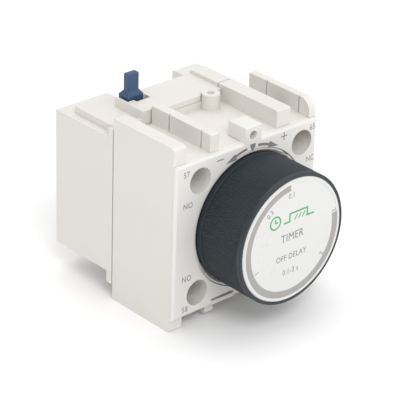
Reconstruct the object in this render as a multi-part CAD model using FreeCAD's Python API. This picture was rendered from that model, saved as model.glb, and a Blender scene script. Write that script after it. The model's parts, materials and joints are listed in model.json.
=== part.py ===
"""Clip-on pneumatic off-delay timer with a rotary dial, one make and one break contact.

Millimetres. +X is right seen from the front, +Y runs from the front face to the rear,
+Z is up. The origin is the middle of the rear edge that seats on the contactor; the front
face is at y = FACE and the dial axis is at x = AXIS_X, z = 0.
"""
import FreeCAD, Part
import math
import os

V = FreeCAD.Vector
Y_AXIS = V(0, 1, 0)
Z_AXIS = V(0, 0, 1)

# ---- overall sizes ----
WIDTH = 44.0
FACE_HEIGHT = 39.2
FRONT_DEPTH = 21.4
REAR_DEPTH = 21.0
JOINT_GAP = 0.4
DIAL_PROTRUSION = 14.2

# ---- fits ----
RUN_FIT = 0.05          # radial play of a turning or sliding fit
SLIDE_FIT = 0.15        # play of a moulded sliding part, per side
SEAT_FIT = 0.05         # play between seated parts of one assembly

# ---- housing ----
LEFT_WALL = 3.7
RIGHT_WALL = 2.0
LEFT_BAY = 7.6          # clear width of the left terminal bay on the ledge
RIGHT_BAY = 5.8
WALL_RISE = 4.4         # side walls and ribs above the upper ledge
WALL_DROP = 3.4         # side walls and ribs below the lower ledge
WALL_SETBACK = 0.9      # side walls start behind the cover's front face
RIB_SETBACK = 1.4
LEFT_RIB = 2.6
RIGHT_RIB = 4.2
RIB_FOOT = 0.8          # ribs end this much above the side walls' lower ends
LEFT_CORNER = 0.9       # rounded front corners of the side walls
RIGHT_CORNER = 3.0
LEDGE = 1.4             # plastic over each terminal chamber
CHAMBER_WALL = 0.6
CHAMBER_START = 8.4     # screw chambers behind the face; round tubes lead in
BACK_WALL = 1.8
SEAM_GROOVE = 0.45
SEAM_DEPTH = 0.5
SEAM_FRONT = 4.3        # depth of the two groove lines behind the face
SEAM_REAR = 15.2

# ---- front cover ----
COVER_PLATE = 2.0
COVER_EDGE_RADIUS = 0.7
RECESS_DEPTH = 1.0
HOLE_RADIUS = 3.2       # screwdriver hole
HOLE_EDGE = 5.2         # hole centre to upper or lower edge of the face
BEZEL_WIDTH = 0.75
BEZEL_HEIGHT = 0.75
DIAL_CLEARANCE = 0.25
TAB_WIDTH = 5.0         # square lug on the upper edge with its round hole
TAB_DEPTH = 5.7
TAB_HOLE = 1.05
TAB_HOLE_DROP = 2.4     # hole centre below the lug's top
TAB_DROP = 0.6          # lug's top below the side walls' top
SLOT_WIDTH = 7.0        # narrow slot near the lower edge
SLOT_HEIGHT = 0.5
SLOT_OFFSET = 7.8
BEZEL_NOTCHES = (51, 214)

# ---- dial ----
DIAL_SKIN = 1.9
DIAL_FRONT = 1.6
KNURLS = 170
KNURL_DEPTH = 0.25
RIM_BAND = 1.1
BASE_BAND = 1.7
PLATE_SEAT = 0.9
PLATE_RIM = 0.8
PLATE_THICK = 1.05
PLATE_BEVEL = 0.3
PLATE_RING = 0.9        # raised edge around the printed field
FIELD_DEPTH = 0.12
HUB_RADIUS = 4.5
SPINDLE_RADIUS = 2.5
SPINDLE_NECK = 2.0
SPINDLE_FLAT = 1.5      # distance of the drive flat from the axis
TURN_RANGE = 300.0      # degrees between the end stops
STOP_GAP = 0.78         # end-stop lugs to the dial's inner wall
STOP_WIDTH = 2.2

# ---- air timer, depths behind the face ----
COVER_BOSS_END = 4.4
CLIP_THICK = 0.46
METER_START = 5.6
METER_THICK = 1.4
VALVE_THICK = 2.5
BELLOWS_LENGTH = 7.3
BELLOWS_SKIN = 0.5
FRAME_WALL = 1.3
FOLDS = 4
PLATE_STEEL = 1.2
ROD_RADIUS = 2.5
SPIGOT_RADIUS = 1.5
SPRING_WIRE = 0.4
COIL_STEPS = 20         # straight runs in one turn of a spring
COIL_SIDES = 10

# ---- terminals and contacts ----
SCREW_HEAD = 2.8
SCREW_HEAD_HEIGHT = 2.4
SCREW_SHANK = 1.75
SCREW_TAIL = 3.0
SCREW_LIFT = 2.7        # travel from clamped to open
CLAMP_SIZE = 5.7
CLAMP_THICK = 0.9
STRIP_THICK = 1.0
STRIP_WIDTH = 5.2
STRIP_FACE = 13.4       # front of the strip behind the face
WIRE_SIDE = 1.5         # left wire entries end this much right of the screw axis
STRIP_INSET = 5.1       # screw axis to the inner face of the strip's arm
PAD_WIDTH = 3.6
PAD_THICK = 0.8
PAD_REACH = 4.5
TIP_RADIUS = 1.3
TIP_THICK = 0.6
BRIDGE_WIDTH = 3.2
BRIDGE_THICK = 0.8
BRIDGE_END_GAP = 1.3
CONTACT_SPACE = 0.1

# ---- carrier, slide and lever ----
SLIDE_TRAVEL = 4.0
CARRIER_START = 27.6    # depth behind the face
CARRIER_THICK = 6.8
CARRIER_HALF = 3.2
CARRIER_END_WALL = 0.9
WINDOW_FRONT = 1.6
WINDOW_DEPTH = 4.0
WIPE = 0.6              # give of each contact bridge against its spring
GUIDE_RADIUS = 1.8
SLIDE_HEIGHT = 3.2
LEVER_THICK = 2.4
LEVER_HALF = 2.1
LEVER_PIN = 1.0
LEVER_BOSS = 1.6
LEVER_END_WALL = 0.5
LEVER_SHARE = 0.59      # share of the span between the pins on the slide's side
PIN_REACH = 2.6         # bridge edge to the carrier's drive pin

# ---- rear housing ----
SHELL = 1.6
REAR_TOP_DROP = 0.9     # rear block's top below the face's upper edge
REAR_BOTTOM_RISE = 3.4
SEAT_DEPTH = 4.0        # seat for the contactor's nose behind the base plate
BASE_THICK = 1.6
POST_RADIUS = 1.9
POST_INSET = 3.8
POST_TOP = 3.7
POST_BOTTOM = 3.8
BOLT_SHANK = 1.1
BOLT_HEAD = 2.0
BOLT_HEAD_HEIGHT = 1.3
BOLT_BITE = 2.8
PLATFORM_RISE = 4.3     # raised deck that holds the latch
PLATFORM_DEPTH = 9.8
PAD_RISE = 1.9
PAD_DEPTH = 16.0
HOOK_INSET = 8.1        # hook's middle from the side of the housing
HOOK_HALF = 1.9
TOWER_RISE = 0.0        # rear part of the right rib above its front part
DIP_DEPTH = 2.9         # roof behind the deck below the rear block's top
DIP_WALL = 1.4
DECK_LAP = 1.0          # deck's lap over the front housing
DECK_SKIN = 1.4
DECK_BOSS = 2.2         # round post on the middle bay's floor
DECK_BOSS_X = 4.4       # post to the right rib
DECK_BOSS_Y = 2.1

# ---- latch ----
LATCH_X = -9.5
LATCH_DEPTH = 30.2
LATCH_LIFT = 2.4
TAB_X = 3.3
TAB_Y = 1.8
TAB_TOP = 9.4           # tab's top above the face's upper edge
FLARE_X = 4.6
FLARE_Y = 3.4
FLARE_SINK = 1.8        # pocket for the flare below the deck's top
ARM_X = 2.8
CATCH_X = 4.0
CATCH_HEIGHT = 5.2

# ---- worked out from the sizes above ----
FACE = -(FRONT_DEPTH + JOINT_GAP + REAR_DEPTH)
HALF = WIDTH / 2
FACE_TOP = FACE_HEIGHT / 2
WALL_TOP = FACE_TOP + WALL_RISE
WALL_BOTTOM = -FACE_TOP - WALL_DROP
LEFT_RIB_X = -HALF + LEFT_WALL + LEFT_BAY
RIGHT_RIB_X = HALF - RIGHT_WALL - RIGHT_BAY
TERMINAL_LEFT = LEFT_RIB_X - LEFT_BAY / 2
TERMINAL_RIGHT = RIGHT_RIB_X + RIGHT_BAY / 2
AXIS_X = (TERMINAL_LEFT + TERMINAL_RIGHT) / 2
TERMINAL_Z = FACE_TOP - HOLE_EDGE
HOLE_REACH = math.hypot(TERMINAL_RIGHT - AXIS_X, TERMINAL_Z) - HOLE_RADIUS
RECESS_RADIUS = HOLE_REACH - 0.85
BEZEL_INNER = RECESS_RADIUS - SEAT_FIT - BEZEL_WIDTH
DIAL_RADIUS = BEZEL_INNER - DIAL_CLEARANCE
STOP_OUTER = DIAL_RADIUS - DIAL_SKIN - STOP_GAP
STOP_INNER = STOP_OUTER - STOP_WIDTH
FRAME_RADIUS = (RIGHT_RIB_X - LEFT_RIB_X) / 2 - CHAMBER_WALL - 0.6
FRAME_INNER = FRAME_RADIUS - FRAME_WALL
BELLOWS_RADIUS = FRAME_INNER - 0.9
BELLOWS_ROOT = BELLOWS_RADIUS - 1.8
TIMER_SPRING = ROD_RADIUS + 0.3 * (BELLOWS_ROOT - ROD_RADIUS)
STRIP_INNER = TERMINAL_Z - STRIP_INSET
REAR_TOP = FACE_TOP - REAR_TOP_DROP
REAR_BOTTOM = -FACE_TOP + REAR_BOTTOM_RISE
REAR_FRONT = FACE + FRONT_DEPTH + JOINT_GAP
SHELL_X = HALF - SHELL
SHELL_TOP = REAR_TOP - SHELL
SHELL_BOTTOM = REAR_BOTTOM + SHELL
BASE_REAR = -SEAT_DEPTH
BASE_FRONT = BASE_REAR - BASE_THICK
VALVE_FRONT = FACE + METER_START + METER_THICK + 0.1
VALVE_REAR = VALVE_FRONT + VALVE_THICK
BELLOWS_END = VALVE_REAR + SEAT_FIT + BELLOWS_LENGTH
SLIDE_Z = SHELL_BOTTOM + 1.2
SLIDE_TOP = SLIDE_Z + SLIDE_HEIGHT
LEVER_Z = SLIDE_TOP + 1.1
LEVER_TOP = LEVER_Z + LEVER_THICK
PIVOT_Y = FACE + CARRIER_START + CARRIER_THICK / 2
CARRIER_PIN_X = TERMINAL_RIGHT - BRIDGE_WIDTH / 2 - PIN_REACH
PIVOT_X = CARRIER_PIN_X * LEVER_SHARE
SHOULDER_HALF = PIVOT_X - LEVER_BOSS - 0.1
SLIDE_HALF = SHOULDER_HALF / 2
SLIDE_SPRING = (SHOULDER_HALF - SLIDE_HALF) / 2 - 0.4
LEVER_ANGLE = math.atan(SLIDE_TRAVEL / 2 / PIVOT_X)
CARRIER_TRAVEL = 2 * (CARRIER_PIN_X - PIVOT_X) * math.tan(LEVER_ANGLE)
CARRIER_Y = FACE + CARRIER_START
WINDOW_NO = CARRIER_Y + WINDOW_FRONT
WINDOW_NC = CARRIER_Y + CARRIER_THICK - WINDOW_FRONT - WINDOW_DEPTH
BRIDGE_NO = WINDOW_NO + SEAT_FIT
BRIDGE_NC = WINDOW_NC + WINDOW_DEPTH - SEAT_FIT - BRIDGE_THICK
BRIDGE_HALF = STRIP_INNER - BRIDGE_END_GAP
TIP_Z = BRIDGE_HALF - TIP_RADIUS - 0.3
PAD_NO = BRIDGE_NO - TIP_THICK - CARRIER_TRAVEL - CONTACT_SPACE - TIP_THICK - PAD_THICK
PAD_NC = BRIDGE_NC + BRIDGE_THICK + TIP_THICK + SEAT_FIT + TIP_THICK
PLATFORM_TOP = REAR_TOP + PLATFORM_RISE
PLATFORM_END = REAR_FRONT + PLATFORM_DEPTH
DIP_TOP = REAR_TOP - DIP_DEPTH
BOSS_X = RIGHT_RIB_X - RIGHT_RIB - DECK_BOSS_X
BOSS_Y = FACE + FRONT_DEPTH - DECK_BOSS_Y
LATCH_Y = FACE + LATCH_DEPTH
DIP_LEFT = LATCH_X + CATCH_X / 2 + 0.9
DIP_RIGHT = RIGHT_RIB_X + 0.3
ARM_TOP = SHELL_TOP - 5.9
ARM_Z = ARM_TOP - 2.0
CATCH_Y = BASE_REAR + 0.4
PLUNGER_END = CARRIER_Y + 3.0


def box(x0, x1, y0, y1, z0, z1):
    return Part.makeBox(x1 - x0, y1 - y0, z1 - z0, V(x0, y0, z0))


def block(x, half_x, y0, y1, z0, z1):
    return box(x - half_x, x + half_x, y0, y1, z0, z1)


def rod_y(x, z, radius, y0, y1):
    return Part.makeCylinder(radius, y1 - y0, V(x, y0, z), Y_AXIS)


def rod_z(x, y, radius, z0, z1):
    return Part.makeCylinder(radius, z1 - z0, V(x, y, z0), Z_AXIS)


def tube_y(x, z, outer, inner, y0, y1):
    return rod_y(x, z, outer, y0, y1).cut(rod_y(x, z, inner, y0 - 1, y1 + 1))


def join(shapes):
    return shapes[0].multiFuse(shapes[1:]).removeSplitter() if len(shapes) > 1 else shapes[0]


def carve(shape, cuts):
    return shape.cut(cuts)


def edges_where(shape, test):
    return [edge for edge in shape.Edges if test(edge)]


def runs_along(edge, axis):
    if not isinstance(edge.Curve, Part.Line):
        return False
    return abs(abs(edge.Curve.Direction.dot(axis)) - 1) < 1e-6


def coil(x, y, z, radius, length, turns, wire, axis):
    """A compression spring that starts at (x, y, z) and runs along axis, as short straight runs."""
    run = length - wire
    count = round(turns * COIL_STEPS)
    path = []
    for number in range(count + 1):
        angle = 2 * math.pi * number / COIL_STEPS
        path.append(V(radius * math.cos(angle), radius * math.sin(angle), wire / 2 + run * number / count))
    along = (path[1] - path[0]).normalize()
    side = along.cross(V(1, 0, 0)).normalize()
    outward = side.cross(along)
    section = []
    for number in range(COIL_SIDES + 1):
        angle = 2 * math.pi * number / COIL_SIDES
        section.append(path[0] + outward * (wire / 2 * math.cos(angle)) + side * (wire / 2 * math.sin(angle)))
    spring = Part.makePolygon(path).makePipeShell([Part.makePolygon(section)], True, False, 1)
    spring.Placement = FreeCAD.Placement(V(x, y, z), FreeCAD.Rotation(Z_AXIS, axis)).multiply(spring.Placement)
    return spring


def sector(x, z, inner, outer, start, sweep, y0, y1):
    """Part of a ring about a line along Y; angles in degrees from +X towards +Z."""
    corners = []
    for radius in (inner, outer):
        for share in (0, 0.5, 1):
            angle = math.radians(start + sweep * share)
            corners.append(V(x + radius * math.cos(angle), y0, z + radius * math.sin(angle)))
    a0, a1, a2, b0, b1, b2 = corners
    edges = [
        Part.Arc(a0, a1, a2).toShape(),
        Part.makeLine(a2, b2),
        Part.Arc(b2, b1, b0).toShape(),
        Part.makeLine(b0, a0),
    ]
    return Part.Face(Part.Wire(edges)).extrude(V(0, y1 - y0, 0))


def revolve_y(x, z, points):
    """Solid of revolution about a line along Y from (radius, y) corners."""
    wire = Part.makePolygon([V(x + r, y, z) for r, y in points + points[:1]])
    return Part.Face(wire).revolve(V(x, 0, z), Y_AXIS, 360)


def save(name, shape):
    shape.exportStep("parts/" + name + ".step")


def corners():
    """The four terminals as (name, x, sign of z)."""
    return [
        ("57", TERMINAL_LEFT, 1),
        ("58", TERMINAL_LEFT, -1),
        ("65", TERMINAL_RIGHT, 1),
        ("66", TERMINAL_RIGHT, -1),
    ]


def span(sign, a, b):
    return (a, b) if sign > 0 else (-b, -a)


# ---- front housing ----

def side_wall(x0, x1, corner):
    wall = box(x0, x1, FACE + WALL_SETBACK, FACE + FRONT_DEPTH, WALL_BOTTOM, WALL_TOP)
    front = edges_where(wall, lambda e: runs_along(e, V(1, 0, 0)) and e.CenterOfMass.y < FACE + 2)
    return wall.makeFillet(corner, front)


def rib(x0, x1):
    shape = box(x0, x1, FACE + RIB_SETBACK, FACE + FRONT_DEPTH, WALL_BOTTOM + RIB_FOOT, WALL_TOP)
    front = edges_where(shape, lambda e: runs_along(e, V(1, 0, 0)) and e.CenterOfMass.y < FACE + 2)
    return shape.makeFillet(0.4, front)


def seam_grooves():
    cuts = []
    for depth in (SEAM_FRONT, SEAM_REAR):
        y0 = FACE + depth
        y1 = y0 + SEAM_GROOVE
        for sign in (1, -1):
            low, high = span(sign, FACE_TOP, FACE_TOP + WALL_RISE + 1)
            right = HALF - RIGHT_WALL
            cuts.append(box(LEFT_RIB_X - 1, LEFT_RIB_X + SEAM_DEPTH, y0, y1, low, high))
            cuts.append(box(right - 1, right + SEAM_DEPTH, y0, y1, low, high))
    return cuts


def terminal_cuts(x, sign, bay):
    """Chamber, wire entry, arm channel and screw tail bore of one terminal."""
    half = bay / 2 - CHAMBER_WALL
    if x > 0:
        half = bay / 2 - 0.1
    low, high = span(sign, STRIP_INNER - 0.1, FACE_TOP - LEDGE)
    strip_back = FACE + STRIP_FACE + STRIP_THICK + SEAT_FIT
    start = FACE + CHAMBER_START
    chamber = block(x, half, start, strip_back, low, high)
    tube = rod_y(x, sign * TERMINAL_Z, HOLE_RADIUS + SEAT_FIT, FACE, start + 0.5)
    low, high = span(sign, FACE_TOP - LEDGE - 1, FACE_TOP + 1)
    right = x + STRIP_WIDTH / 2 + 0.1
    left = x - STRIP_WIDTH / 2 - 0.1
    if x < 0:
        right = x + WIRE_SIDE
    entry = box(left, right, start, FACE + STRIP_FACE - 0.2, low, high)
    low, high = span(sign, STRIP_INNER - 0.1, STRIP_INNER + STRIP_THICK + 0.1)
    channel = block(x, STRIP_WIDTH / 2 + 0.1, strip_back - 1, FACE + FRONT_DEPTH + 1, low, high)
    tail = rod_y(x, sign * TERMINAL_Z, SCREW_SHANK + 0.15, strip_back - 1, strip_back + SCREW_TAIL + 0.4)
    return [chamber, tube, entry, channel, tail]


def front_housing():
    core = box(-HALF, HALF, FACE + COVER_PLATE + SEAT_FIT, FACE + FRONT_DEPTH, -FACE_TOP, FACE_TOP)
    left_wall = side_wall(-HALF, -HALF + LEFT_WALL, LEFT_CORNER)
    right_wall = side_wall(HALF - RIGHT_WALL, HALF, RIGHT_CORNER)
    left_rib = rib(LEFT_RIB_X, LEFT_RIB_X + LEFT_RIB)
    right_rib = rib(RIGHT_RIB_X - RIGHT_RIB, RIGHT_RIB_X)
    rear = FACE + FRONT_DEPTH
    deck = box(LEFT_RIB_X, RIGHT_RIB_X, rear - DECK_LAP, rear, FACE_TOP - 1, PLATFORM_TOP - DECK_SKIN - 0.1)
    boss = rod_z(BOSS_X, BOSS_Y, DECK_BOSS, FACE_TOP - 1, WALL_TOP - 0.5)
    body = join([core, left_wall, right_wall, left_rib, right_rib, deck, boss])
    cuts = [rod_z(BOSS_X, BOSS_Y, 0.9, WALL_TOP - 1.3, WALL_TOP + 1)]
    cuts.append(box(BOSS_X - DECK_BOSS, BOSS_X + DECK_BOSS, rear, rear + 5, FACE_TOP - 2, WALL_TOP + 1))
    cuts.append(rod_y(AXIS_X, 0, RECESS_RADIUS + SEAT_FIT, FACE - 1, FACE + RECESS_DEPTH + 0.05))
    back = rear - BACK_WALL
    cuts.append(rod_y(AXIS_X, 0, FRAME_RADIUS + 0.1, FACE, back))
    cuts.append(rod_y(AXIS_X, 0, ROD_RADIUS + RUN_FIT, back - 1, FACE + FRONT_DEPTH + 1))
    for name, x, sign in corners():
        bay = LEFT_BAY if x < 0 else RIGHT_BAY
        cuts.extend(terminal_cuts(x, sign, bay))
    pocket_half = STRIP_INNER - 1.1
    for x0, x1 in ((-HALF + LEFT_WALL, AXIS_X - FRAME_RADIUS - 1.1),
                   (AXIS_X + FRAME_RADIUS + 1.1, HALF - RIGHT_WALL)):
        cuts.append(box(x0, x1, FACE, back, -pocket_half, pocket_half))
    for x, z in post_places():
        cuts.append(rod_y(x, z, BOLT_SHANK + RUN_FIT, FACE + FRONT_DEPTH - BOLT_BITE, FACE + FRONT_DEPTH + 1))
    cuts.append(cover_shape(SEAT_FIT))
    cuts.extend(seam_grooves())
    return carve(body, cuts)


def cover_shape(grow):
    """Envelope of the cover's plate and upper lug, grown by a clearance."""
    plate = box(-HALF - grow, HALF + grow, FACE - 1, FACE + WALL_SETBACK, -FACE_TOP - grow, FACE_TOP + grow)
    inner = box(
        -HALF + LEFT_WALL - grow, HALF - RIGHT_WALL + grow, FACE - 1, FACE + COVER_PLATE + grow,
        -FACE_TOP - grow, FACE_TOP + grow)
    lug = block(AXIS_X, TAB_WIDTH / 2 + grow, FACE - 1, FACE + TAB_DEPTH + grow, FACE_TOP - 1, WALL_TOP + 1)
    return plate.fuse([inner, lug])


def front_cover():
    plate = box(-HALF, HALF, FACE, FACE + WALL_SETBACK - SEAT_FIT, -FACE_TOP, FACE_TOP)
    rounded = edges_where(plate, lambda e: abs(e.CenterOfMass.y - FACE) < 0.01)
    plate = plate.makeFillet(COVER_EDGE_RADIUS, rounded)
    inner = box(
        -HALF + LEFT_WALL, HALF - RIGHT_WALL, FACE + 0.5, FACE + COVER_PLATE, -FACE_TOP, FACE_TOP)
    lug_top = WALL_TOP - TAB_DROP
    lug = block(AXIS_X, TAB_WIDTH / 2, FACE, FACE + TAB_DEPTH, FACE_TOP, lug_top)
    lug = lug.makeFillet(0.4, edges_where(lug, lambda e: e.CenterOfMass.z > lug_top - 0.1))
    foot = block(AXIS_X, TAB_WIDTH / 2, FACE, FACE + COVER_PLATE, FACE_TOP - 2, FACE_TOP + 0.5)
    skirt = tube_y(AXIS_X, 0, FRAME_RADIUS, FRAME_INNER, FACE + COVER_PLATE - 0.5, VALVE_FRONT - SEAT_FIT)
    boss = rod_y(AXIS_X, 0, SPINDLE_RADIUS + 2.5, FACE + COVER_PLATE - 0.5, FACE + COVER_BOSS_END)
    lip = block(AXIS_X - SLOT_OFFSET, SLOT_WIDTH / 2, FACE - 0.25, FACE + 0.8, -FACE_TOP + 0.3, -FACE_TOP + 1.3)
    body = join([plate, inner, lug, foot, skirt, boss, lip])
    cuts = [rod_y(AXIS_X, 0, RECESS_RADIUS, FACE - 1, FACE + RECESS_DEPTH)]
    cuts.append(rod_y(AXIS_X, 0, SPINDLE_RADIUS + RUN_FIT, FACE - 1, FACE + COVER_BOSS_END + 1))
    cuts.append(rod_y(AXIS_X, lug_top - TAB_HOLE_DROP, TAB_HOLE, FACE - 1, FACE + TAB_DEPTH + 1))
    slot_z = -FACE_TOP + 1.3
    cuts.append(block(AXIS_X - SLOT_OFFSET, SLOT_WIDTH / 2, FACE - 1, FACE + 6, slot_z, slot_z + SLOT_HEIGHT))
    for name, x, sign in corners():
        cuts.append(rod_y(x, sign * TERMINAL_Z, HOLE_RADIUS, FACE - 1, FACE + COVER_PLATE + 1))
    body = carve(body, cuts)
    foot = FACE + RECESS_DEPTH + 0.2
    stop = sector(AXIS_X, 0, STOP_INNER, STOP_OUTER, stop_start(0), stop_sweep(), FACE - 1.8, foot)
    return body.fuse(stop).removeSplitter()


def bezel_ring():
    y1 = FACE + RECESS_DEPTH - SEAT_FIT
    ring = tube_y(AXIS_X, 0, RECESS_RADIUS - SEAT_FIT, BEZEL_INNER, y1 - BEZEL_HEIGHT, y1)
    front = y1 - BEZEL_HEIGHT
    ring = ring.makeChamfer(0.2, edges_where(ring, lambda e: e.CenterOfMass.y < front + 0.01))
    notches = []
    for angle in BEZEL_NOTCHES:
        notches.append(sector(AXIS_X, 0, BEZEL_INNER - 1, RECESS_RADIUS + 1, angle - 3.5, 7,
                              front - 1, front + 0.5))
    return carve(ring, notches)


# ---- dial and spindle ----

def stop_sweep():
    return (360 - TURN_RANGE) / 2 - 0.6


def stop_start(which):
    """The cover's lug (0) and the dial's lug (1) lie side by side below the axis at rest."""
    return 270 + 0.3 if which == 0 else 270 - stop_sweep() - 0.3


def knurl_band(y0, y1):
    """Fluted outer wall: shallow round-bottomed grooves between narrow ribs."""
    points = []
    steps = 4
    for number in range(KNURLS * steps):
        angle = 2 * math.pi * number / (KNURLS * steps)
        depth = KNURL_DEPTH * (0, 0.62, 1, 0.62)[number % steps]
        radius = DIAL_RADIUS - depth
        points.append(V(AXIS_X + radius * math.cos(angle), y0, radius * math.sin(angle)))
    wire = Part.makePolygon(points + points[:1])
    return Part.Face(wire).extrude(V(0, y1 - y0, 0))


def drive_flat(radius, y0, y1, grow):
    shaft = rod_y(AXIS_X, 0, radius + grow, y0, y1)
    return shaft.cut(box(AXIS_X - 9, AXIS_X + 9, y0 - 1, y1 + 1, SPINDLE_FLAT + grow, 9))


def knob():
    front = FACE - DIAL_PROTRUSION + 0.15
    base = FACE + RECESS_DEPTH - 0.4
    band = knurl_band(front + RIM_BAND, base - BASE_BAND)
    rim = rod_y(AXIS_X, 0, DIAL_RADIUS, front, front + RIM_BAND)
    rim = rim.makeFillet(0.35, edges_where(rim, lambda e: e.CenterOfMass.y < front + 0.01))
    foot = rod_y(AXIS_X, 0, DIAL_RADIUS, base - BASE_BAND, base)
    body = join([band, rim, foot])
    floor = front + PLATE_SEAT + DIAL_FRONT
    cuts = [rod_y(AXIS_X, 0, DIAL_RADIUS - PLATE_RIM, front - 1, front + PLATE_SEAT)]
    cuts.append(rod_y(AXIS_X, 0, DIAL_RADIUS - DIAL_SKIN, floor, base + 1))
    shell = carve(body, cuts)
    hub = rod_y(AXIS_X, 0, HUB_RADIUS, floor - 0.5, FACE - 0.9)
    fins = []
    for number in range(6):
        wall = AXIS_X + DIAL_RADIUS - DIAL_SKIN
        fin = box(AXIS_X + HUB_RADIUS - 0.5, wall + 0.5, floor - 0.5, FACE - 5.4, -0.5, 0.5)
        fin.rotate(V(AXIS_X, 0, 0), Y_AXIS, 60 * number + 30)
        fins.append(fin)
    outer = DIAL_RADIUS - DIAL_SKIN + 0.3
    stop = sector(AXIS_X, 0, STOP_INNER, outer, stop_start(1), stop_sweep(), FACE - 4.2, FACE)
    body = join([shell, hub, stop] + fins)
    bore = drive_flat(SPINDLE_NECK, floor + 0.4, FACE, SEAT_FIT)
    return carve(body, [bore])


def dial_plate():
    front = FACE - DIAL_PROTRUSION
    radius = DIAL_RADIUS - PLATE_RIM - SEAT_FIT
    disc = rod_y(AXIS_X, 0, radius, front, front + PLATE_THICK - SEAT_FIT)
    rim = edges_where(disc, lambda e: e.CenterOfMass.y < front + 0.01)
    disc = disc.makeChamfer(PLATE_BEVEL, rim)
    field = rod_y(AXIS_X, 0, radius - PLATE_RING, front - 1, front + FIELD_DEPTH)
    return disc.cut(field)


def spindle():
    start = FACE - DIAL_PROTRUSION + 0.15 + PLATE_SEAT + DIAL_FRONT + 0.6
    nose = drive_flat(SPINDLE_NECK, start, FACE - 0.5, 0)
    journal = rod_y(AXIS_X, 0, SPINDLE_RADIUS, FACE - 0.6, FACE + COVER_BOSS_END + 0.1)
    meter_end = FACE + METER_START + METER_THICK
    drive = drive_flat(SPINDLE_NECK, FACE + COVER_BOSS_END, meter_end, 0)
    needle = rod_y(AXIS_X, 0, 1.0, meter_end - 0.2, meter_end + 1.6)
    body = join([nose, journal, drive, needle])
    groove = tube_y(AXIS_X, 0, SPINDLE_RADIUS + 1, 1.6, clip_start() - 0.04, clip_start() + CLIP_THICK + 0.04)
    return body.cut(groove)


def clip_start():
    return FACE + COVER_BOSS_END + 0.14


def spindle_clip():
    y0 = clip_start()
    ring = tube_y(AXIS_X, 0, 3.6, 1.65, y0, y0 + CLIP_THICK)
    mouth = box(AXIS_X - 1.2, AXIS_X + 1.2, y0 - 1, y0 + 2, -5, 0)
    return ring.cut(mouth)


# ---- air timer ----

def metering_disc():
    y0 = FACE + METER_START
    radius = FRAME_INNER - 0.5
    disc = rod_y(AXIS_X, 0, radius, y0, y0 + METER_THICK)
    groove = sector(AXIS_X, 0, radius - 2.4, radius - 1.6, 110, 300, y0 + METER_THICK - 0.5, y0 + METER_THICK + 1)
    bore = drive_flat(SPINDLE_NECK, y0 - 1, y0 + METER_THICK + 1, SEAT_FIT)
    return carve(disc, [groove, bore])


def filter_radii():
    return FRAME_INNER - 4.0, FRAME_INNER - 1.6


def valve_plate():
    plate = rod_y(AXIS_X, 0, FRAME_RADIUS, VALVE_FRONT, VALVE_REAR)
    inner, outer = filter_radii()
    pocket = tube_y(AXIS_X, 0, outer + SEAT_FIT, inner - SEAT_FIT, VALVE_REAR - 1.3, VALVE_REAR + 1)
    centre = rod_y(AXIS_X, 0, 1.0 + RUN_FIT, VALVE_FRONT - 1, VALVE_FRONT + 2)
    port = rod_y(AXIS_X, FRAME_INNER - 2.5, 0.5, VALVE_FRONT - 1, VALVE_REAR + 1)
    flap = rod_y(AXIS_X, -(FRAME_INNER - 2.5), 0.8, VALVE_FRONT - 1, VALVE_REAR + 1)
    return carve(plate, [pocket, centre, port, flap])


def air_filter():
    inner, outer = filter_radii()
    return tube_y(AXIS_X, 0, outer, inner, VALVE_REAR - 1.25, VALVE_REAR - 0.05)


def bellows():
    """Folded rubber wall with a clamped front flange and a closed rear end."""
    y0 = VALVE_REAR + SEAT_FIT
    y1 = BELLOWS_END - SEAT_FIT
    fold = (y1 - 0.7 - (y0 + 0.6)) / FOLDS
    outer = [(FRAME_RADIUS - 0.3, y0), (FRAME_RADIUS - 0.3, y0 + 0.6), (BELLOWS_ROOT, y0 + 0.6)]
    inner = [(BELLOWS_ROOT - BELLOWS_SKIN, y0)]
    for number in range(FOLDS):
        start = y0 + 0.6 + fold * number
        outer.append((BELLOWS_RADIUS, start + fold / 2))
        outer.append((BELLOWS_ROOT, start + fold))
        inner.append((BELLOWS_ROOT - BELLOWS_SKIN, start))
        inner.append((BELLOWS_RADIUS - BELLOWS_SKIN, start + fold / 2))
    inner.append((BELLOWS_ROOT - BELLOWS_SKIN, y1 - 0.7))
    closing = [(BELLOWS_ROOT, y1), (SPIGOT_RADIUS + SEAT_FIT, y1), (SPIGOT_RADIUS + SEAT_FIT, y1 - 0.7)]
    return revolve_y(AXIS_X, 0, outer + closing + inner[::-1])


def timer_frame():
    y0 = VALVE_REAR + 2 * SEAT_FIT + 0.6
    y1 = FACE + FRONT_DEPTH - BACK_WALL - SEAT_FIT
    tube = tube_y(AXIS_X, 0, FRAME_RADIUS, FRAME_INNER, y0, y1)
    windows = []
    for number in range(4):
        window = box(AXIS_X + FRAME_INNER - 2, AXIS_X + FRAME_RADIUS + 1, y0 + 2.5, y1 - 2, -2.5, 2.5)
        window.rotate(V(AXIS_X, 0, 0), Y_AXIS, 90 * number + 45)
        windows.append(window)
    return carve(tube, windows)


def timing_spring():
    y0 = VALVE_REAR + 0.05
    length = BELLOWS_END - 0.8 - SEAT_FIT - y0 - 0.05
    return coil(AXIS_X, y0, 0, TIMER_SPRING, length, 4.5, SPRING_WIRE, Y_AXIS)


def bellows_plate():
    radius = BELLOWS_ROOT + 0.9
    plate = tube_y(AXIS_X, 0, radius, SPIGOT_RADIUS + SEAT_FIT, BELLOWS_END, BELLOWS_END + PLATE_STEEL)
    return plate.makeFillet(0.3, edges_where(plate, lambda e: e.Curve.Radius > radius - 0.1
                                             if isinstance(e.Curve, Part.Circle) else False))


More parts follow.
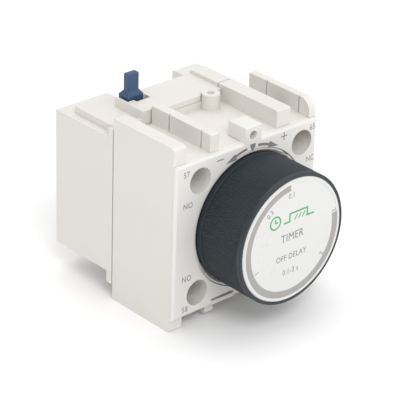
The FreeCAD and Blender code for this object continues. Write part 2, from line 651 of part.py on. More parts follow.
def plunger():
    y0 = BELLOWS_END + PLATE_STEEL + SEAT_FIT
    spigot = rod_y(AXIS_X, 0, SPIGOT_RADIUS, BELLOWS_END - 2.2, y0 + 0.2)
    flange = rod_y(AXIS_X, 0, ROD_RADIUS + 1.0, y0, y0 + 0.8)
    rod = rod_y(AXIS_X, 0, ROD_RADIUS, y0, CARRIER_Y)
    tail = rod_y(AXIS_X, 0, SPIGOT_RADIUS, CARRIER_Y - 0.2, PLUNGER_END)
    return join([spigot, flange, rod, tail])


def plunger_nut():
    y1 = BELLOWS_END - SEAT_FIT - 0.7 - SEAT_FIT
    return tube_y(AXIS_X, 0, 2.6, SPIGOT_RADIUS + SEAT_FIT, y1 - 1.3, y1)


# ---- terminals and contacts ----

def strip_half():
    return STRIP_WIDTH / 2


def terminal_strip(x, sign, pad_y, pad_front):
    """Bent strip: clamping face, arm to the rear and an inward contact pad."""
    y0 = FACE + STRIP_FACE
    low, high = span(sign, STRIP_INNER, TERMINAL_Z + CLAMP_SIZE / 2)
    face = block(x, strip_half(), y0, y0 + STRIP_THICK, low, high)
    low, high = span(sign, STRIP_INNER, STRIP_INNER + STRIP_THICK)
    arm = block(x, strip_half(), y0 + STRIP_THICK - 0.2, pad_y + PAD_THICK, low, high)
    low, high = span(sign, STRIP_INNER - PAD_REACH, STRIP_INNER + 0.2)
    pad = block(x, PAD_WIDTH / 2, pad_y, pad_y + PAD_THICK, low, high)
    hole = rod_y(x, sign * TERMINAL_Z, SCREW_SHANK + RUN_FIT, y0 - 1, y0 + STRIP_THICK + 1)
    return join([face, arm, pad]).cut(hole)


def clamp_front():
    return FACE + STRIP_FACE - SEAT_FIT - CLAMP_THICK


def clamp_washer(x, sign):
    half = CLAMP_SIZE / 2
    width = RIGHT_BAY / 2 - 0.2
    y0 = clamp_front()
    z = sign * TERMINAL_Z
    plate = block(x, width, y0, y0 + CLAMP_THICK, z - half, z + half)
    plate = plate.makeFillet(0.5, edges_where(plate, lambda e: runs_along(e, Y_AXIS)))
    grooves = []
    for shift in (-1, 1):
        grooves.append(block(x, width + 1, y0 + CLAMP_THICK - 0.15, y0 + CLAMP_THICK + 1,
                             z + shift * 2.2 - 0.2, z + shift * 2.2 + 0.2))
    hole = rod_y(x, z, SCREW_SHANK + RUN_FIT + 0.05, y0 - 1, y0 + 2)
    return carve(plate, grooves + [hole])


def terminal_screw(x, sign):
    z = sign * TERMINAL_Z
    y1 = clamp_front() - SEAT_FIT
    y0 = y1 - SCREW_HEAD_HEIGHT
    head = rod_y(x, z, SCREW_HEAD, y0, y1)
    head = head.makeFillet(0.4, edges_where(head, lambda e: abs(e.CenterOfMass.y - y0) < 0.01))
    shank = rod_y(x, z, SCREW_SHANK, y1 - 0.2, FACE + STRIP_FACE + STRIP_THICK + SCREW_TAIL)
    slot = block(x, SCREW_HEAD + 1, y0 - 1, y0 + 1.1, z - 0.4, z + 0.4)
    cross = block(x, 0.45, y0 - 1, y0 + 1.4, z - 1.5, z + 1.5)
    return carve(join([head, shank]), [slot, cross])


def contact_tip(x, z, y0):
    return rod_y(x, z, TIP_RADIUS, y0, y0 + TIP_THICK)


def tips(x, y0):
    return Part.makeCompound([contact_tip(x, sign * TIP_Z, y0) for sign in (1, -1)])


def bridge(x, y0):
    bar = block(x, BRIDGE_WIDTH / 2, y0, y0 + BRIDGE_THICK, -BRIDGE_HALF, BRIDGE_HALF)
    return bar.makeFillet(0.8, edges_where(bar, lambda e: runs_along(e, Y_AXIS)))


def contact_spring(x, y0, y1):
    return coil(x, y0 + 0.05, 0, 1.2, y1 - y0 - 0.1, 4, 0.3, Y_AXIS)


def contact_carrier():
    x0 = TERMINAL_LEFT - BRIDGE_WIDTH / 2 - SLIDE_FIT - CARRIER_END_WALL
    x1 = TERMINAL_RIGHT + BRIDGE_WIDTH / 2 + SLIDE_FIT + CARRIER_END_WALL
    bar = box(x0, x1, CARRIER_Y, CARRIER_Y + CARRIER_THICK, -CARRIER_HALF, CARRIER_HALF)
    bar = bar.makeFillet(0.6, edges_where(bar, lambda e: runs_along(e, Z_AXIS)))
    pin_y = PIVOT_Y + CARRIER_TRAVEL / 2
    pin = rod_z(CARRIER_PIN_X, pin_y, LEVER_PIN, LEVER_Z - 0.3, -CARRIER_HALF + 0.5)
    guide = rod_y(AXIS_X, 0, GUIDE_RADIUS, CARRIER_Y + CARRIER_THICK - 0.5, BASE_REAR + 2.2)
    body = join([bar, pin, guide])
    cuts = []
    for x, y0 in ((TERMINAL_LEFT, WINDOW_NO), (TERMINAL_RIGHT, WINDOW_NC)):
        half = BRIDGE_WIDTH / 2 + SLIDE_FIT
        cuts.append(block(x, half, y0, y0 + WINDOW_DEPTH, -CARRIER_HALF - 1, CARRIER_HALF + 1))
    cuts.append(rod_y(AXIS_X, 0, SPIGOT_RADIUS + SEAT_FIT, CARRIER_Y - 1, PLUNGER_END + 0.1))
    for x0, x1 in ((TERMINAL_LEFT + 3.2, AXIS_X - 3.2), (AXIS_X + 3.2, CARRIER_PIN_X - 2.0)):
        cuts.append(box(x0, x1, CARRIER_Y + 1.4, CARRIER_Y + CARRIER_THICK - 1.4, -5, 5))
    return carve(body, cuts)


# ---- slide, lever and rear housing ----

def slide_pin_y():
    return PIVOT_Y - SLIDE_TRAVEL / 2


def actuator_slide():
    start = REAR_FRONT + 2.6
    plate = block(0, SLIDE_HALF, start, CATCH_Y, SLIDE_Z, SLIDE_TOP)
    shoulder = block(0, SHOULDER_HALF, start, start + 2.4, SLIDE_Z, SLIDE_TOP)
    head = block(0, SLIDE_HALF, BASE_REAR + 0.2, BASE_REAR + 2.4, SLIDE_Z, -CARRIER_HALF)
    lip = block(0, SLIDE_HALF, BASE_REAR + 0.2, BASE_REAR + 3.4, -CARRIER_HALF - 1.4, -CARRIER_HALF)
    pin = rod_z(0, slide_pin_y(), LEVER_PIN, SLIDE_TOP - 0.5, LEVER_TOP + 0.2)
    return join([plate, shoulder, head, lip, pin])


def slide_springs():
    y0 = REAR_FRONT + 2.6 + 2.4 + 0.05
    x = (SLIDE_HALF + SHOULDER_HALF) / 2
    z = (SLIDE_Z + SLIDE_TOP) / 2
    length = BASE_FRONT - 0.05 - y0
    return Part.makeCompound([coil(side * x, y0, z, SLIDE_SPRING, length, 7, 0.35, Y_AXIS) for side in (-1, 1)])


def trip_lever():
    start = -LEVER_HALF + 0.1
    end = CARRIER_PIN_X + LEVER_HALF - 0.3
    bar = box(start, end, PIVOT_Y - LEVER_HALF, PIVOT_Y + LEVER_HALF, LEVER_Z, LEVER_TOP)
    bar = bar.makeFillet(1.2, edges_where(bar, lambda e: runs_along(e, Z_AXIS)))
    slot = LEVER_PIN + RUN_FIT
    left = LEVER_END_WALL
    cuts = [rod_z(PIVOT_X, PIVOT_Y, LEVER_PIN + RUN_FIT, LEVER_Z - 1, LEVER_TOP + 1)]
    cuts.append(box(start - 1, left, PIVOT_Y - slot, PIVOT_Y + slot, LEVER_Z - 1, LEVER_TOP + 1))
    cuts.append(rod_z(left, PIVOT_Y, slot, LEVER_Z - 1, LEVER_TOP + 1))
    inner = CARRIER_PIN_X - left
    cuts.append(box(inner, end + 1, PIVOT_Y - slot, PIVOT_Y + slot, LEVER_Z - 1, LEVER_TOP + 1))
    cuts.append(rod_z(inner, PIVOT_Y, slot, LEVER_Z - 1, LEVER_TOP + 1))
    body = carve(bar, cuts)
    body.rotate(V(PIVOT_X, PIVOT_Y, 0), Z_AXIS, math.degrees(LEVER_ANGLE))
    return body


def lever_pin():
    shaft = rod_z(PIVOT_X, PIVOT_Y, LEVER_PIN, SHELL_BOTTOM + 0.6, LEVER_TOP + 0.3)
    cap = rod_z(PIVOT_X, PIVOT_Y, LEVER_PIN + 0.6, LEVER_TOP + 0.15, LEVER_TOP + 0.6)
    return join([shaft, cap])


def post_places():
    x = HALF - POST_INSET
    return [(side * x, z) for side in (-1, 1) for z in (REAR_TOP - POST_TOP, REAR_BOTTOM + POST_BOTTOM)]


def dip_inside(gap):
    """Space under the rear roof that the lowered part takes, grown by a gap."""
    return box(DIP_LEFT - DIP_WALL - gap, DIP_RIGHT + DIP_WALL + gap, PLATFORM_END - DIP_WALL - gap, 2,
               DIP_TOP - DIP_WALL - gap, SHELL_TOP + 1)


def rear_housing():
    shell = box(-HALF, HALF, REAR_FRONT, 0, REAR_BOTTOM, REAR_TOP)
    upright = edges_where(shell, lambda e: abs(e.CenterOfMass.y) < 0.01)
    shell = shell.makeFillet(0.6, upright)
    inner_rib = RIGHT_RIB_X - RIGHT_RIB
    platform = box(LATCH_X - 3.5, inner_rib, REAR_FRONT, PLATFORM_END, SHELL_TOP, PLATFORM_TOP)
    lap = box(LEFT_RIB_X + LEFT_RIB + 0.1, inner_rib - 0.1, REAR_FRONT - JOINT_GAP - DECK_LAP, REAR_FRONT + 1,
              PLATFORM_TOP - DECK_SKIN, PLATFORM_TOP)
    lap = lap.cut(rod_z(BOSS_X, BOSS_Y, DECK_BOSS + 0.15, FACE_TOP, WALL_TOP + 1))
    tower_top = WALL_TOP + TOWER_RISE
    tower = box(inner_rib, RIGHT_RIB_X, REAR_FRONT, PLATFORM_END, SHELL_TOP, tower_top)
    tower = tower.makeFillet(0.8, edges_where(tower, lambda e: runs_along(e, V(1, 0, 0))
                                              and e.CenterOfMass.z > tower_top - 0.1
                                              and e.CenterOfMass.y > PLATFORM_END - 0.1))
    pad = box(-HALF + 2.0, LATCH_X - 2.9, REAR_FRONT, REAR_FRONT + PAD_DEPTH, SHELL_TOP, REAR_TOP + PAD_RISE)
    lip = box(-HALF, LATCH_X - 2.9, REAR_FRONT, REAR_FRONT + 1.6, SHELL_TOP, REAR_TOP + 2.3)
    lug = box(-HALF, -HALF + 2.0, REAR_FRONT, REAR_FRONT + 1.8, REAR_BOTTOM - 2.9, REAR_BOTTOM + 1)
    dip = box(DIP_LEFT, DIP_RIGHT, PLATFORM_END, 1, DIP_TOP, PLATFORM_TOP + 1)
    outside = join([shell, platform, lap, tower, pad, lip, lug]).cut(dip)
    hollow = box(-SHELL_X, SHELL_X, REAR_FRONT - JOINT_GAP, 1, SHELL_BOTTOM, SHELL_TOP)
    hollow = hollow.cut(dip_inside(0))
    body = carve(outside, [hollow])
    posts = []
    for x, z in post_places():
        outward = SHELL_TOP + 0.5 if z > 0 else SHELL_BOTTOM - 0.5
        posts.append(rod_y(x, z, POST_RADIUS, REAR_FRONT - JOINT_GAP, BASE_FRONT))
        posts.append(block(x, 0.6, REAR_FRONT, BASE_FRONT, min(z, outward), max(z, outward)))
    boss = rod_z(PIVOT_X, PIVOT_Y, LEVER_BOSS, SHELL_BOTTOM - 0.3, LEVER_Z - 0.15)
    rails = []
    for side in (-1, 1):
        x = side * (SLIDE_HALF + SLIDE_FIT + 0.4)
        rails.append(block(x, 0.4, REAR_FRONT + 2.6 + 2.4 + SLIDE_TRAVEL + 1.0, BASE_FRONT - 0.1,
                           SHELL_BOTTOM - 0.3, SLIDE_Z + 0.2))
        rails.append(block(side * (SLIDE_HALF / 2 + 0.1), 0.5, REAR_FRONT + 2.6, BASE_FRONT - 0.1, SHELL_BOTTOM - 0.3, SLIDE_Z - 0.1))
    body = join([body, boss] + posts + rails)
    cuts = [rod_y(x, z, BOLT_SHANK + RUN_FIT, REAR_FRONT - 2, BASE_FRONT + 1) for x, z in post_places()]
    cuts.append(rod_z(PIVOT_X, PIVOT_Y, LEVER_PIN + 0.01, SHELL_BOTTOM + 0.5, LEVER_Z))
    pocket_z = PLATFORM_TOP - FLARE_SINK
    flare_gap = FLARE_Y / 2 + 0.45
    cuts.append(block(LATCH_X, FLARE_X / 2 + 0.45, LATCH_Y - flare_gap, LATCH_Y + flare_gap,
                      pocket_z, PLATFORM_TOP + 1))
    cuts.append(box(LATCH_X - 1.0, LATCH_X + 3.2, LATCH_Y - 3.2, LATCH_Y - 1.1,
                    PLATFORM_TOP - 4, PLATFORM_TOP + 1))
    half_y = TAB_Y / 2 + SLIDE_FIT
    cuts.append(block(LATCH_X, ARM_X / 2 + SLIDE_FIT, LATCH_Y - half_y, LATCH_Y + half_y,
                      SHELL_TOP - 1, PLATFORM_TOP))
    inner_end = PLATFORM_END - DIP_WALL
    inner_start = REAR_FRONT + 1.4
    cuts.append(box(LATCH_X + 4.6, inner_rib - 1.4, inner_start, inner_end, SHELL_TOP - 1, PLATFORM_TOP - 1.5))
    cuts.append(box(inner_rib + 1.2, RIGHT_RIB_X - 1.2, inner_start, inner_end, SHELL_TOP - 1, tower_top - 1.4))
    return carve(body, cuts)


def base_plate():
    fit = 0.1
    plate = box(-SHELL_X + fit, SHELL_X - fit, BASE_FRONT, BASE_REAR, SHELL_BOTTOM + fit, SHELL_TOP - fit)
    hooks = []
    for side in (-1, 1):
        for z, top in ((SHELL_TOP - 4.6, SHELL_TOP - 3.0), (REAR_BOTTOM + 6.4, REAR_BOTTOM + 8.0)):
            x = side * (HALF - HOOK_INSET)
            hooks.append(block(x, HOOK_HALF, BASE_REAR - 0.4, -0.4, z, top))
            hooks.append(block(x, HOOK_HALF, -1.6, -0.4, z - 1.2, z + 0.2))
    body = join([plate] + hooks)
    cuts = [rod_y(x, z, BOLT_SHANK + 0.15, BASE_FRONT - 1, BASE_REAR + 1) for x, z in post_places()]
    cuts.append(dip_inside(fit))
    cuts.append(block(0, SLIDE_HALF + SLIDE_FIT, BASE_FRONT - 1, BASE_REAR + 1,
                      SLIDE_Z - SLIDE_FIT, SLIDE_TOP + SLIDE_FIT))
    cuts.append(rod_y(AXIS_X, 0, GUIDE_RADIUS + RUN_FIT, BASE_FRONT - 1, BASE_REAR + 1))
    cuts.append(block(LATCH_X, CATCH_X / 2 + SLIDE_FIT, BASE_FRONT - 1, BASE_REAR + 1,
                      ARM_TOP - CATCH_HEIGHT - SLIDE_FIT, ARM_TOP + LATCH_LIFT + SLIDE_FIT))
    return carve(body, cuts)


def housing_screws():
    screws = []
    for x, z in post_places():
        head = rod_y(x, z, BOLT_HEAD, BASE_REAR + SEAT_FIT, BASE_REAR + SEAT_FIT + BOLT_HEAD_HEIGHT)
        shank = rod_y(x, z, BOLT_SHANK, REAR_FRONT - JOINT_GAP - BOLT_BITE + 0.2, BASE_REAR + SEAT_FIT + 0.2)
        top = BASE_REAR + SEAT_FIT + BOLT_HEAD_HEIGHT
        cross = [
            block(x, 0.25, top - 0.7, top + 1, z - 1.2, z + 1.2),
            block(x, 1.2, top - 0.7, top + 1, z - 0.25, z + 0.25),
        ]
        screws.append(carve(join([head, shank]), cross))
    return Part.makeCompound(screws)


def rectangle_z(x, y, half_x, half_y, z):
    points = [
        V(x - half_x, y - half_y, z),
        V(x + half_x, y - half_y, z),
        V(x + half_x, y + half_y, z),
        V(x - half_x, y + half_y, z),
    ]
    return Part.makePolygon(points + points[:1])


def latch():
    tab_top = FACE_TOP + TAB_TOP
    flare_z = PLATFORM_TOP - FLARE_SINK + SEAT_FIT
    flare_top = PLATFORM_TOP + 0.8
    neck_z = flare_top + 0.9
    tab = block(LATCH_X, TAB_X / 2, LATCH_Y - TAB_Y / 2, LATCH_Y + TAB_Y / 2, neck_z - 0.4, tab_top)
    tab = tab.makeFillet(0.3, edges_where(tab, lambda e: e.CenterOfMass.z > neck_z))
    flare = block(LATCH_X, FLARE_X / 2, LATCH_Y - FLARE_Y / 2, LATCH_Y + FLARE_Y / 2, flare_z, flare_top)
    sections = [
        rectangle_z(LATCH_X, LATCH_Y, FLARE_X / 2, FLARE_Y / 2, flare_top - 0.1),
        rectangle_z(LATCH_X, LATCH_Y, TAB_X / 2, TAB_Y / 2, neck_z),
    ]
    taper = Part.makeLoft(sections, True, True)
    stem = block(LATCH_X, ARM_X / 2, LATCH_Y - TAB_Y / 2, LATCH_Y + TAB_Y / 2, ARM_Z, flare_z + 0.5)
    arm = block(LATCH_X, ARM_X / 2, LATCH_Y - TAB_Y / 2, CATCH_Y + 0.5, ARM_Z, ARM_TOP)
    catch = block(LATCH_X, CATCH_X / 2, CATCH_Y, CATCH_Y + 2.6, ARM_TOP - CATCH_HEIGHT, ARM_TOP)
    nose = edges_where(catch, lambda e: runs_along(e, V(1, 0, 0)) and e.CenterOfMass.z < ARM_TOP - 1
                       and e.CenterOfMass.y > CATCH_Y + 1)
    catch = catch.makeChamfer(1.2, nose)
    return join([tab, flare, taper, stem, arm, catch])


def latch_spring():
    y = (LATCH_Y + BASE_FRONT) / 2 + 0.6
    return coil(LATCH_X, y, ARM_TOP + 0.05, 1.1, SHELL_TOP - ARM_TOP - 0.1, 5.5, 0.35, Z_AXIS)


def build():
    os.makedirs("parts", exist_ok=True)
    save("front_housing", front_housing())
    save("front_cover", front_cover())
    save("bezel_ring", bezel_ring())
    save("knob", knob())
    save("dial_plate", dial_plate())
    save("spindle", spindle())
    save("spindle_clip", spindle_clip())
    save("metering_disc", metering_disc())
    save("valve_plate", valve_plate())
    save("air_filter", air_filter())
    save("bellows", bellows())
    save("timer_frame", timer_frame())
    save("timing_spring", timing_spring())
    save("bellows_plate", bellows_plate())
    save("plunger", plunger())
    save("plunger_nut", plunger_nut())
    fixed_tips = []
    for name, x, sign in corners():
        pad_y = PAD_NO if x < 0 else PAD_NC
        tip_y = PAD_NO + PAD_THICK if x < 0 else PAD_NC - TIP_THICK
        save("terminal_" + name, terminal_strip(x, sign, pad_y, x < 0))
        save("clamp_" + name, clamp_washer(x, sign))
        save("screw_" + name, terminal_screw(x, sign))
        fixed_tips.append(contact_tip(x, sign * TIP_Z, tip_y))
    save("fixed_contact_tips", Part.makeCompound(fixed_tips))
    save("make_bridge", bridge(TERMINAL_LEFT, BRIDGE_NO))
    save("make_bridge_tips", tips(TERMINAL_LEFT, BRIDGE_NO - TIP_THICK))
    save("make_spring", contact_spring(TERMINAL_LEFT, BRIDGE_NO + BRIDGE_THICK, WINDOW_NO + WINDOW_DEPTH))
    save("break_bridge", bridge(TERMINAL_RIGHT, BRIDGE_NC))
    save("break_bridge_tips", tips(TERMINAL_RIGHT, BRIDGE_NC + BRIDGE_THICK))
    save("break_spring", contact_spring(TERMINAL_RIGHT, WINDOW_NC, BRIDGE_NC))
    save("contact_carrier", contact_carrier())
    save("actuator_slide", actuator_slide())
    save("slide_springs", slide_springs())
    save("trip_lever", trip_lever())
    save("lever_pin", lever_pin())
    save("rear_housing", rear_housing())
    save("base_plate", base_plate())
    save("housing_screws", housing_screws())
    save("latch", latch())
    save("latch_spring", latch_spring())


build()
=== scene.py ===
"""Materials, printed marks, light and camera for the clip-on delay timer.

Metres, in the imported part's frame: +X is right seen from the front, the front face looks
along -Y, +Z is up. The dial axis runs along Y.
"""

import json
import math

import bmesh
import bpy
from mathutils import Matrix, Vector


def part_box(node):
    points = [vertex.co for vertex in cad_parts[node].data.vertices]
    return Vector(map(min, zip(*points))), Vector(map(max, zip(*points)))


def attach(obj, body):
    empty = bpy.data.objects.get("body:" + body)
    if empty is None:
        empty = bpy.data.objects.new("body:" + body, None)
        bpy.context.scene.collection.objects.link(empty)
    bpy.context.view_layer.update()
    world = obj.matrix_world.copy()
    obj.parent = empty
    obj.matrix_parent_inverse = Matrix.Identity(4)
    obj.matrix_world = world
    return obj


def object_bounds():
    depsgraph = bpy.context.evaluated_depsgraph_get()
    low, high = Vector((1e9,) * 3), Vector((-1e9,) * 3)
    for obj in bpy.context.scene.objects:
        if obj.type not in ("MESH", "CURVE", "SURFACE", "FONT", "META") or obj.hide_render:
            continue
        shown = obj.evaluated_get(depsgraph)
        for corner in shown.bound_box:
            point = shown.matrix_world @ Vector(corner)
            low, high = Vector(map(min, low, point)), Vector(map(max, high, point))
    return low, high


MM = 0.001
FACE = -42.8 * MM            # the cover's flat front

# ---- camera ----
CAMERA_AZIMUTH = -44.347
CAMERA_ELEVATION = 27.847
CAMERA_ROLL = 2.612
CAMERA_DISTANCE = 0.4643
CAMERA_LENS = 180.71
CAMERA_SENSOR = 36.0
CAMERA_SHIFT = (-0.1139, 0.0468)

# ---- printed marks ----
INK = 0.02 * MM              # thickness of the print
INK_SINK = 0.01 * MM         # the print starts this far inside the surface
DIAL_FIELD_DEPTH = 0.12 * MM # printed field of the dial plate below its raised rim
BAND_INNER = 12.85 * MM
BAND_OUTER = 14.5 * MM
BAND_START = 95.3            # degrees, anticlockwise from +X seen from the front
BAND_END = 371.6
CHARACTER = 1.45 * MM        # height of a capital
CAPITAL_SHARE = 0.7          # capital height in the font's own size
LETTER_SPACING = 1.08
BAND_STEPS = 92
CLOCK_STEPS = 32
ARROW_STEPS = 6
SIGN_WIDTH = 0.26            # mm, plus and minus signs
STEP_LINE = 0.42             # mm, lines of the step pictogram
CLOCK_HAND = 0.32            # mm
DIAGONAL = 0.3               # mm

# ---- surface and studio ----
EDGE_SAMPLES = 6
FLOOR_HALF = 3.0
WORLD_STRENGTH = 0.72
LIGHTS = (                   # name, place from the part's centre, size, power
    ("key", (-0.32, -0.62, 0.75), 0.45, 3.4),
    ("fill", (0.6, -0.6, 0.25), 0.7, 1.5),
    ("top", (0.15, 0.3, 0.9), 0.8, 2.6),
)


# ---- material nodes ----

def new_material(name):
    material = bpy.data.materials.new(name)
    material.use_nodes = True
    nodes = material.node_tree.nodes
    nodes.clear()
    output = nodes.new("ShaderNodeOutputMaterial")
    shader = nodes.new("ShaderNodeBsdfPrincipled")
    material.node_tree.links.new(shader.outputs["BSDF"], output.inputs["Surface"])
    return material, nodes, material.node_tree.links, shader


def object_noise(nodes, links, scale, detail, roughness=0.55, stretch=(1, 1, 1)):
    place = nodes.new("ShaderNodeTexCoord")
    mapping = nodes.new("ShaderNodeMapping")
    mapping.inputs["Scale"].default_value = stretch
    links.new(place.outputs["Object"], mapping.inputs["Vector"])
    noise = nodes.new("ShaderNodeTexNoise")
    noise.inputs["Scale"].default_value = scale
    noise.inputs["Detail"].default_value = detail
    noise.inputs["Roughness"].default_value = roughness
    links.new(mapping.outputs["Vector"], noise.inputs["Vector"])
    return noise.outputs["Fac"]


def ramp(nodes, links, value, low, high, colours):
    made = nodes.new("ShaderNodeValToRGB")
    made.color_ramp.elements[0].position = low
    made.color_ramp.elements[1].position = high
    made.color_ramp.elements[0].color = (*colours[0], 1)
    made.color_ramp.elements[1].color = (*colours[1], 1)
    links.new(value, made.inputs["Fac"])
    return made.outputs["Color"]


def spread(nodes, links, value, low, high):
    """Maps a 0.3 to 0.7 noise value to low to high."""
    made = nodes.new("ShaderNodeMapRange")
    made.inputs["From Min"].default_value = 0.3
    made.inputs["From Max"].default_value = 0.7
    made.inputs["To Min"].default_value = low
    made.inputs["To Max"].default_value = high
    links.new(value, made.inputs["Value"])
    return made.outputs["Result"]


def soft_edge(nodes, radius):
    """A normal rounded over sharp moulded edges."""
    made = nodes.new("ShaderNodeBevel")
    made.samples = EDGE_SAMPLES
    made.inputs["Radius"].default_value = radius
    return made.outputs["Normal"]


def edge_amount(nodes, links, rounded):
    """0 on flat areas, rising to 1 along an edge."""
    geometry = nodes.new("ShaderNodeNewGeometry")
    dot = nodes.new("ShaderNodeVectorMath")
    dot.operation = "DOT_PRODUCT"
    links.new(rounded, dot.inputs[0])
    links.new(geometry.outputs["Normal"], dot.inputs[1])
    made = nodes.new("ShaderNodeMapRange")
    made.inputs["From Min"].default_value = 0.99
    made.inputs["From Max"].default_value = 0.8
    made.inputs["To Min"].default_value = 0.0
    made.inputs["To Max"].default_value = 1.0
    links.new(dot.outputs["Value"], made.inputs["Value"])
    return made.outputs["Result"]


def mixed(nodes, links, factor, first, second):
    made = nodes.new("ShaderNodeMix")
    made.data_type = "RGBA"
    links.new(factor, made.inputs["Factor"])
    links.new(first, made.inputs["A"])
    if isinstance(second, tuple):
        made.inputs["B"].default_value = (*second, 1)
    else:
        links.new(second, made.inputs["B"])
    return made.outputs["Result"]


def bumped(nodes, links, height, strength, distance, normal=None):
    made = nodes.new("ShaderNodeBump")
    made.inputs["Strength"].default_value = strength
    made.inputs["Distance"].default_value = distance
    links.new(height, made.inputs["Height"])
    if normal is not None:
        links.new(normal, made.inputs["Normal"])
    return made.outputs["Normal"]


def plastic(name, light, dark, edge_highlight_and_wear, roughness=(0.38, 0.5), grain=2600, grain_strength=0.25,
            edge_radius=0.18 * MM, subsurface=0.0):
    """Moulded plastic: faint flow shading, fine eroded texture, rounded edges with a painted highlight and
    slight rubbed wear along them.
    """
    material, nodes, links, shader = new_material(name)
    clouds = object_noise(nodes, links, 70, 3, stretch=(1, 0.6, 1))
    body = ramp(nodes, links, clouds, 0.3, 0.7, (dark, light))
    specks = object_noise(nodes, links, 900, 2)
    speck_mask = ramp(nodes, links, specks, 0.62, 0.72, ((0, 0, 0), (0.35, 0.35, 0.35)))
    body = mixed(nodes, links, speck_mask, body, dark)
    rounded = soft_edge(nodes, edge_radius)
    # Painted highlight: every edge is mixed toward a lighter colour whatever the light, together with slight
    # rubbed wear.
    body = mixed(nodes, links, edge_amount(nodes, links, rounded), body, edge_highlight_and_wear)
    links.new(body, shader.inputs["Base Color"])
    links.new(spread(nodes, links, clouds, *roughness), shader.inputs["Roughness"])
    fine = object_noise(nodes, links, grain, 4, 0.65)
    links.new(bumped(nodes, links, fine, grain_strength, 0.02 * MM, rounded), shader.inputs["Normal"])
    shader.inputs["IOR"].default_value = 1.5
    shader.inputs["Subsurface Weight"].default_value = subsurface
    shader.inputs["Subsurface Radius"].default_value = (1.0, 0.85, 0.7)
    shader.inputs["Subsurface Scale"].default_value = 0.6 * MM
    return material


def metal(name, light, dark, roughness=(0.22, 0.4), stretch=(1, 1, 1), brush=600, edge_radius=0.06 * MM):
    """Rolled or plated metal: drawn brush lines, cloudy tarnish and brighter edges, a painted highlight with
    rubbed wear.
    """
    material, nodes, links, shader = new_material(name)
    tarnish = object_noise(nodes, links, 220, 5, 0.6)
    body = ramp(nodes, links, tarnish, 0.32, 0.68, (dark, light))
    rounded = soft_edge(nodes, edge_radius)
    # Painted highlight: edges are mixed toward the light tarnish colour whatever the light, together with
    # rubbed wear.
    body = mixed(nodes, links, edge_amount(nodes, links, rounded), body, light)
    links.new(body, shader.inputs["Base Color"])
    links.new(spread(nodes, links, tarnish, *roughness), shader.inputs["Roughness"])
    lines = object_noise(nodes, links, brush, 4, 0.6, stretch=stretch)
    links.new(bumped(nodes, links, lines, 0.2, 0.02 * MM, rounded), shader.inputs["Normal"])
    shader.inputs["Metallic"].default_value = 1.0
    return material


def fibrous(name, light, dark):
    """Pressed felt: matted fibres with a soft sheen."""
    material, nodes, links, shader = new_material(name)
    fibres = object_noise(nodes, links, 2400, 6, 0.7, stretch=(1, 1, 0.25))
    links.new(ramp(nodes, links, fibres, 0.3, 0.7, (dark, light)), shader.inputs["Base Color"])
    links.new(bumped(nodes, links, fibres, 0.9, 0.1 * MM), shader.inputs["Normal"])
    shader.inputs["Roughness"].default_value = 0.95
    shader.inputs["Sheen Weight"].default_value = 0.4
    return material


def ink(name, light, dark):
    """Pad-printed ink: slightly uneven cover over the moulded texture."""
    material, nodes, links, shader = new_material(name)
    cover = object_noise(nodes, links, 3200, 4, 0.7)
    links.new(ramp(nodes, links, cover, 0.35, 0.65, (dark, light)), shader.inputs["Base Color"])
    links.new(spread(nodes, links, cover, 0.45, 0.6), shader.inputs["Roughness"])
    links.new(bumped(nodes, links, cover, 0.15, 0.01 * MM), shader.inputs["Normal"])
    return material


def make_materials():
    return {
        # The fourth colour of each plastic is painted along its edges: a painted highlight with slight rubbed
        # wear.
        "housing": plastic("housing_plastic", (0.755, 0.73, 0.69), (0.73, 0.705, 0.665), (0.86, 0.84, 0.80),
                           subsurface=0.08),
        "cover": plastic("cover_plastic",
                         (0.77, 0.758, 0.728), (0.745, 0.733, 0.703), (0.87, 0.862, 0.838),
                         roughness=(0.3, 0.42), grain=3200, subsurface=0.08),
        "bezel": plastic("bezel_plastic", (0.7, 0.665, 0.62), (0.66, 0.625, 0.58), (0.8, 0.77, 0.73)),
        "dial": plastic("dial_plastic", (0.019, 0.029, 0.037), (0.015, 0.024, 0.031), (0.045, 0.064, 0.08),
                        roughness=(0.42, 0.55), grain=3000, edge_radius=0.1 * MM),
        "dial_face": plastic("dial_face_plastic",
                             (0.70, 0.70, 0.685), (0.68, 0.68, 0.665), (0.88, 0.88, 0.87),
                             roughness=(0.26, 0.34), grain=1500, grain_strength=0.08),
        "brass": metal("turned_brass", (0.78, 0.58, 0.28), (0.6, 0.42, 0.18)),
        "steel": metal("spring_steel", (0.62, 0.62, 0.63), (0.42, 0.42, 0.43)),
        "zinc_screw": metal("zinc_plate", (0.68, 0.68, 0.66), (0.5, 0.49, 0.46), roughness=(0.28, 0.45)),
        "inner_plastic": plastic("inner_moulding",
                                 (0.12, 0.12, 0.13), (0.08, 0.08, 0.09), (0.2, 0.2, 0.21)),
        "lever_plastic": plastic("lever_acetal", (0.3, 0.31, 0.33), (0.25, 0.26, 0.28), (0.4, 0.41, 0.43)),
        "base": plastic("base_plastic", (0.77, 0.745, 0.705), (0.73, 0.705, 0.665), (0.85, 0.83, 0.79)),
        "felt": fibrous("pressed_felt", (0.62, 0.6, 0.55), (0.4, 0.38, 0.34)),
        "rubber": plastic("bellows_rubber", (0.05, 0.05, 0.052), (0.032, 0.032, 0.034), (0.09, 0.09, 0.09),
                          roughness=(0.6, 0.75), grain=1200),
        "copper": metal("contact_copper", (0.8, 0.47, 0.3), (0.55, 0.3, 0.18), stretch=(1, 0.15, 1)),
        "silver": metal("contact_silver", (0.86, 0.85, 0.82), (0.66, 0.65, 0.62), roughness=(0.15, 0.3)),
        "latch_blue": plastic("latch_plastic",
                              (0.036, 0.083, 0.17), (0.028, 0.066, 0.14), (0.075, 0.15, 0.27),
                              roughness=(0.3, 0.42), edge_radius=0.15 * MM),
    }


def dress_nodes(record, nodes, materials):
    """Every CAD node gets the material of its own slot."""
    slots = {part["node"]: part["material_slot"] for part in record["subparts"]}
    for name, node in nodes.items():
        node.data.materials.clear()
        node.data.materials.append(materials[slots[name]])


# ---- printed marks ----

